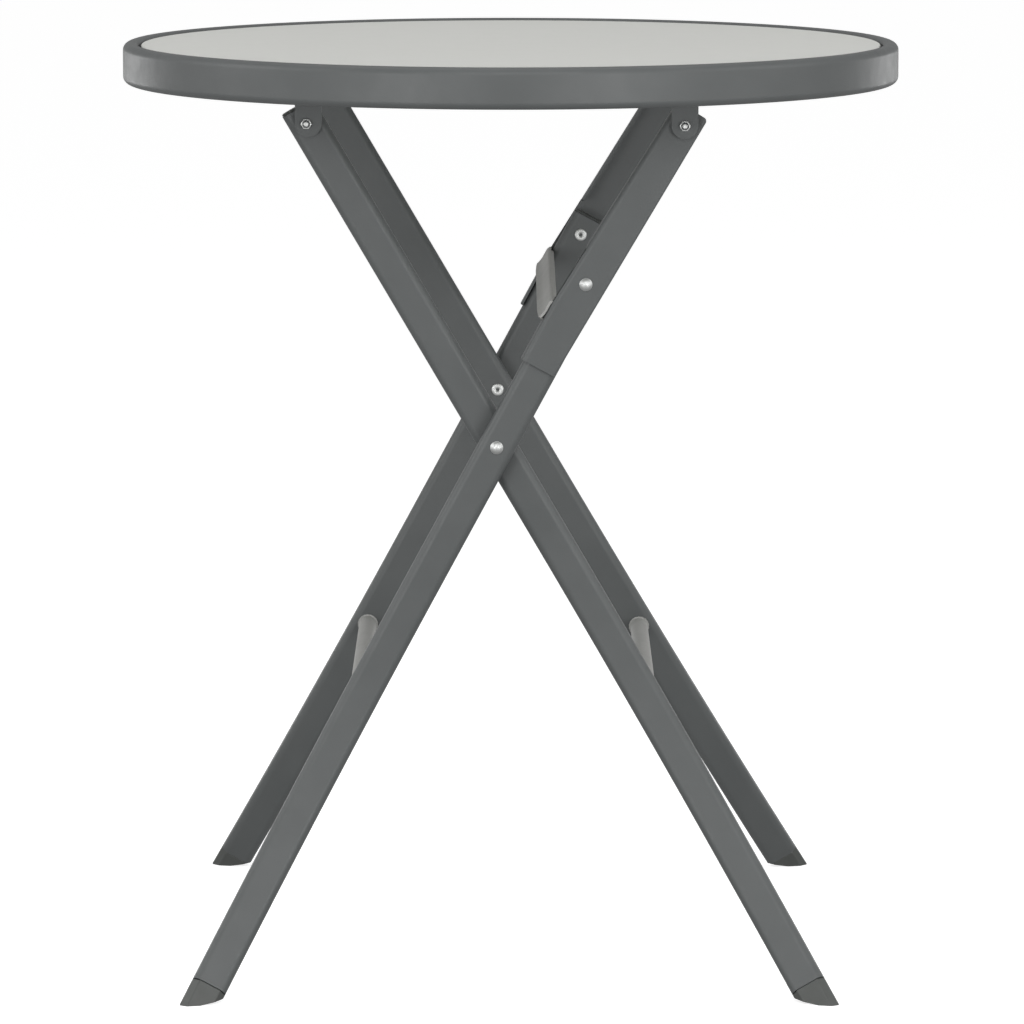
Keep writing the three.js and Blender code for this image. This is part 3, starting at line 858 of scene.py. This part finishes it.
def upper_link(side):
    """A pressed channel: a web along the leg's upper side, a flange outside it and a curled lower edge."""
    flange = OUTER_PLANE + LEG_DEPTH / 2 + 2 * FIT + LINK_SHEET
    web_end = OUTER_PLANE - LEG_DEPTH / 2
    edge = -(LEG_SIDE + LINK_SHEET)
    tail = beside_leg(edge, -LINK_TAIL)
    clearing = beside_leg(edge, -KNEE_CLEARANCE)
    top = link_length + LINK_END
    # The web is cut away round the knee, so that the leg's end can turn there.
    notch = (clearing[1], KNEE_CLEARANCE)
    notch_reach = flange - LINK_SHEET - 0.0002
    heights = [tail[1] + rise for rise in (0.0, 0.0003, 0.0008, 0.0015, 0.0060, TAIL_RUN)] + [-0.045]
    heights += [notch[0] - run for run in (NOTCH_RUN, 0.0012, 0.0005, 0.0)] + [-0.012, 0.0, 0.012]
    heights += [notch[1] + run for run in (0.0, 0.0005, 0.0012, NOTCH_RUN)]
    heights += [0.060, 0.100, top - LINK_CORNER - 0.002]
    heights += [top - LINK_CORNER + LINK_CORNER * sin(pi / 2 * i / 6) for i in range(7)]
    rings = []
    for z in heights:
        if z < clearing[1]:
            left = straight_between(z, tail, clearing)
        else:
            left = straight_between(z, clearing, (LINK_LEFT_AT_TOP, top))
        right = straight_between(z, (LINK_RIGHT_AT_TAIL, tail[1]), (LINK_RIGHT_AT_TOP, top))
        rounding = corner_inset(z - (top - LINK_CORNER), LINK_CORNER)
        right -= rounding
        reach = web_end + rounding + corner_inset(tail[1] + LINK_CORNER / 2 - z, LINK_CORNER / 2)
        from_notch_ends = (z - (notch[0] - NOTCH_RUN), notch[1] + NOTCH_RUN - z)
        into_notch = max(min(from_notch_ends), 0) / NOTCH_RUN
        reach += (notch_reach - reach) * min(into_notch, 1) ** 0.5
        web_centre, web_y = left + WEB_BEND, flange - WEB_BEND
        curl_centre, curl_y = right - LINK_CURL, flange - LINK_CURL
        section = [(left, reach)]
        section += arc(web_centre, web_y, WEB_BEND, pi, pi / 2, 7)
        section += arc(curl_centre, curl_y, LINK_CURL, pi / 2, 0, 6)
        section += arc(curl_centre, curl_y, LINK_CURL - LINK_SHEET, 0, pi / 2, 6)
        section += arc(web_centre, web_y, WEB_BEND - LINK_SHEET, pi / 2, pi, 7)
        section += [(left + LINK_SHEET, reach)]
        section = [(x, max(y, reach)) for x, y in section]
        # The tail is cut square to the leg, so its end leans a little in the link's own frame.
        skew = tan(link_bend) * min(max((tail[1] + TAIL_RUN - z) / TAIL_RUN, 0), 1)
        rings.append([in_link_frame(side, x, y, z + skew * (x - tail[0])) for x, y in section])
    return loft(rings)


def on_plate(u, out, y):
    """A point of the knee plate: u along the leg from the plate's middle, out from the leg's side."""
    x = -(LEG_SIDE + LINK_SHEET + FIT) - out
    z = -(PLATE_DROP + PLATE_WIDTH / 2) + u
    return knee + Matrix.Rotation(outer["lean"], 3, "Y") @ Vector((x, y, z))


def knee_plate():
    """A brace across both links: its lower edge curls outward, its upper edge turns in between the links."""
    half_length = OUTER_PLANE + LEG_DEPTH / 2
    between_links = OUTER_PLANE - LEG_DEPTH / 2 - 0.003
    end_curl, more_curl, curl_run = 0.0014, 0.0010, 0.050
    end_corner, corner_run, end_lip = 0.0008, 0.002, 0.0004
    sheet, bend = PLATE_SHEET, PLATE_BEND
    low, high = -PLATE_WIDTH / 2, PLATE_WIDTH / 2
    stations = [-half_length, corner_run - half_length, -between_links - 0.002, -between_links]
    stations += [-between_links + 0.004, -0.150, -0.075, 0.0]
    stations += [-y for y in stations[-2::-1]]
    rings = []
    for y in stations:
        from_end = half_length - abs(y)
        rise = end_curl + more_curl * min(from_end / curl_run, 1)
        lip = PLATE_LIP if abs(y) <= between_links else end_lip
        corner = end_corner * max(1 - from_end / corner_run, 0)
        edge = low + corner
        upper = high - corner
        shares = (0.0, 0.15, 0.3, 0.45, 0.6, 0.8, 1.0)
        curve = [(edge + PLATE_CURL * t, rise * (1 - t) ** 2) for t in shares]
        outer_side = [(u, out + sheet) for u, out in curve]
        outer_side += [
            (upper - bend, sheet), (upper - 0.35 * bend, 0.8 * sheet), (upper, sheet - 0.6 * bend),
            (upper, -lip),
        ]
        inner_side = [(upper - sheet, -lip), (upper - sheet, -FIT), (upper - sheet - 0.0008, 0.0)]
        inner_side += curve[::-1]
        rings.append([on_plate(u, out, y) for u, out in outer_side + inner_side])
    beads = []
    for side in (-1, 1):
        for u in (low + 0.0005, high):
            start = on_plate(u, 0.0, side * (half_length - 0.013))
            end = on_plate(u, 0.0, side * (half_length - 0.003))
            beads.append(bead(between(start, end, 15), PLATE_BEAD))
    return together(loft(rings), *beads)


# Assembly.

make("shown_rim_ring", rim_ring(), "top", STEEL, ["rim_ring"])
make("shown_glass_panel", glass_panel(), "top", GLASS, ["glass_panel"])
make("shown_glass_seal", glass_seal(), "top", RUBBER, ["glass_seal"])

outer_face = OUTER_PLANE + LEG_DEPTH / 2
outer_inner_face = OUTER_PLANE - LEG_DEPTH / 2
inner_outer_face = INNER_PLANE + LEG_DEPTH / 2
inner_inner_face = INNER_PLANE - LEG_DEPTH / 2
flange_face = outer_face + 2 * FIT + LINK_SHEET
left_ear = inner_outer_face + EAR_GAP
right_washer = flange_face + FIT
right_ear = right_washer + WASHER_SHEET + FIT
left_nut = left_ear + EAR_SHEET + FIT
right_nut = right_ear + EAR_SHEET + FIT
PIVOTS = (
    ("left", left_pivot, left_ear, left_nut, LEFT_EAR_SHIFT),
    ("right", right_pivot, right_ear, right_nut, 0.0),
)
LEG_PARTS = (
    ("leg", leg, STEEL, SHARP_ANGLE, 0.0),
    ("leg_plug", leg_plug, PLASTIC, SHARP_ANGLE, 0.0),
    ("foot", foot, PLASTIC, FOOT_SHARP_ANGLE, FOOT_ROUNDING),
)


def add_nut(name, face, pivot, side):
    """The nut, with its second material on the ring inside the collar."""
    nut = make(f"shown_{name}", hex_nut(face, pivot, side), "top", ZINC, [name], sharp=24)
    nut.data.materials.append(NYLON_RING)
    for polygon in nut.data.polygons:
        centre = polygon.center - pivot
        within_collar = hypot(centre.x, centre.z) < 0.36 * NUT_FLATS
        if within_collar and abs(centre.y) > face + 0.6 * NUT_HEIGHT:
            polygon.material_index = 1


def add_ears(side_name, side):
    for end, pivot, face, nut, shift in PIVOTS:
        name = f"{end}_ear_{side_name}"
        strip = ear(pivot, face, side, shift)
        make(f"shown_{name}", strip, "top", STEEL, [name], bevel=EAR_ROUNDING)
        make(f"{name}_welds", ear_welds(pivot, face, side, shift), "top", STEEL)
        name = f"{end}_glass_pad_{side_name}"
        make(f"shown_{name}", glass_pad(pivot.x, side), "top", RUBBER, [name])
        add_nut(f"{end}_pivot_nut_{side_name}", nut, pivot, side)


def add_bolts(side_name, side):
    left_end = left_nut + NUT_HEIGHT + BOLT_PROUD
    right_end = right_nut + NUT_HEIGHT + BOLT_PROUD
    name = f"left_pivot_bolt_end_{side_name}"
    make(f"shown_{name}", threaded(left_ear, left_end, left_pivot, side), "top", ZINC, [name])
    name = f"left_pivot_bolt_{side_name}"
    inner_half = bolt(inner_inner_face - FIT, left_ear - FIT, left_pivot, side)
    make(f"shown_{name}", inner_half, "inner_frame", ZINC, [name])
    name = f"right_pivot_bolt_{side_name}"
    whole_bolt = together(
        bolt(flange_face - LINK_SHEET - FIT, right_ear, right_pivot, side),
        threaded(right_ear + 0.0001, right_end, right_pivot, side),
    )
    make(f"shown_{name}", whole_bolt, "top", ZINC, [name])
    name = f"right_pivot_washer_{side_name}"
    ring = washer(right_washer, right_washer + WASHER_SHEET, BOLT_RADIUS + FIT, right_pivot, side)
    make(f"shown_{name}", ring, "top", ZINC, [name])


def add_legs(side_name, side):
    for shape in (inner, outer):
        for part, build, slot, sharp, bevel in LEG_PARTS:
            name = f"{shape['name']}_{part}_{side_name}"
            make(f"shown_{name}", build(shape, side), shape["body"], slot, [name], sharp, bevel)


def add_rivets(side_name, side):
    name = f"crossing_rivet_{side_name}"
    tail = inner_inner_face - FIT - RIVET_TAIL_HEIGHT
    made = rivet(tail, outer_face + FIT, crossing, side)
    make(f"shown_{name}", made, "inner_frame", ZINC, [name])
    name = f"crossing_spacer_{side_name}"
    low, high = inner_outer_face + FIT, inner_outer_face + LEG_GAP - FIT
    made = washer(low, high, RIVET_RADIUS + FIT, crossing, side)
    make(f"shown_{name}", made, "inner_frame", PLASTIC, [name])
    name = f"knee_rivet_{side_name}"
    tail = outer_inner_face - FIT - RIVET_TAIL_HEIGHT
    made = rivet(tail, flange_face + FIT, knee, side)
    make(f"shown_{name}", made, "outer_frame", ZINC, [name])


for end, pivot in (("left", left_pivot), ("right", right_pivot)):
    make(f"shown_{end}_rail", rail(pivot.x), "top", STEEL, [f"{end}_rail"])
    make(f"{end}_rail_welds", rail_welds(pivot.x), "top", STEEL)

for side_name, side in SIDES:
    add_ears(side_name, side)
    add_bolts(side_name, side)
    add_legs(side_name, side)
    add_rivets(side_name, side)
    name = f"upper_link_{side_name}"
    make(f"shown_{name}", upper_link(side), "upper_links", STEEL, [name])

for name, body, shape in (
    ("inner_crossbar", "inner_frame", crossbar(inner)),
    ("outer_crossbar", "outer_frame", crossbar(outer)),
    ("knee_plate", "upper_links", knee_plate()),
):
    made = make(f"shown_{name}", shape, body, STEEL, [name])
    # The braces get the lighter copy of the coat, which paints light onto them.
    made.data.materials[0] = COAT_WITH_PAINTED_LIGHT


# The stage: a pale floor, a pale dome behind it, soft lamps and the camera.

FLOOR_HALF = 30.0
DOME_SHELL = 0.1


def stage_piece(name, vertices, faces, shade, glow):
    """A matt piece of the stage that glows a little. It throws no light at the table itself."""
    paint = bpy.data.materials.new(f"{name}_paint")
    paint.use_nodes = True
    shader = paint.node_tree.nodes["Principled BSDF"]
    shader.inputs["Base Color"].default_value = (shade, shade, shade, 1)
    shader.inputs["Roughness"].default_value = 0.9
    shader.inputs["Specular IOR Level"].default_value = 0.0
    shader.inputs["Emission Color"].default_value = (1, 1, 1, 1)
    shader.inputs["Emission Strength"].default_value = glow
    mesh = bpy.data.meshes.new(name)
    mesh.from_pydata([tuple(v) for v in vertices], [], faces)
    mesh.materials.append(paint)
    piece = bpy.data.objects.new(name, mesh)
    bpy.context.scene.collection.objects.link(piece)
    piece.visible_diffuse = False
    piece.visible_glossy = False
    return piece


floor_corners = [(x * FLOOR_HALF, y * FLOOR_HALF, 0) for x, y in ((-1, -1), (1, -1), (1, 1), (-1, 1))]
stage_piece("floor", floor_corners, [(0, 1, 2, 3)], shade=0.6, glow=0.75)

dome_profile = arc(0.0, 0.0, FLOOR_HALF, 0, pi / 2, 12)[:-1] + [(0.0, FLOOR_HALF)]
dome_profile += [(0.0, FLOOR_HALF + DOME_SHELL), (FLOOR_HALF + DOME_SHELL, 0.0)]
dome = stage_piece("backdrop", *turn(dome_profile, Matrix(), 48), shade=0.9, glow=1.0)
dome.visible_transmission = False
dome.visible_shadow = False

world = bpy.data.worlds.new("room")
world.use_nodes = True
background = world.node_tree.nodes["Background"]
background.inputs["Color"].default_value = (1, 1, 1, 1)
background.inputs["Strength"].default_value = 0.4
bpy.context.scene.world = world

LAMPS_AIM = Vector((0, 0, 0.4))
# Name, place, width, height and watts.
LAMPS = (
    ("overhead", (0.0, 0.3, 2.9), 2.6, 2.6, 16),
    ("left_box", (-2.3, -0.4, 1.3), 1.4, 1.8, 17),
    ("right_box", (2.2, -0.6, 1.3), 1.4, 1.8, 13),
    ("front_box", (0.2, -2.0, 1.75), 1.8, 1.1, 14),
    ("low_left_box", (-1.2, -2.2, 0.55), 1.0, 0.8, 13),
    ("low_right_box", (1.2, -2.2, 0.55), 1.0, 0.8, 14),
    ("back_left_box", (-1.8, 2.0, 0.45), 0.9, 0.5, 5),
    ("back_right_box", (1.8, 2.0, 0.45), 0.9, 0.5, 5),
)
for name, place, width, height, watts in LAMPS:
    lamp = bpy.data.lights.new(name, "AREA")
    lamp.shape = "RECTANGLE"
    lamp.size = width
    lamp.size_y = height
    lamp.energy = watts
    holder = bpy.data.objects.new(name, lamp)
    holder.location = place
    towards = LAMPS_AIM - Vector(place)
    holder.rotation_euler = towards.to_track_quat("-Z", "Y").to_euler()
    bpy.context.scene.collection.objects.link(holder)

CAMERA_LENS = 249.75
CAMERA_SENSOR = 36
CAMERA_PLACE = (0.0010, -5.502, 1.060)
CAMERA_DOWN = radians(7.534)
camera_data = bpy.data.cameras.new("camera")
camera_data.lens = CAMERA_LENS
camera_data.sensor_width = CAMERA_SENSOR
camera = bpy.data.objects.new("camera", camera_data)
camera.location = CAMERA_PLACE
camera.rotation_euler = (pi / 2 - CAMERA_DOWN, 0, 0)
bpy.context.scene.collection.objects.link(camera)
bpy.context.scene.camera = camera
bpy.context.scene.view_settings.view_transform = "Standard"
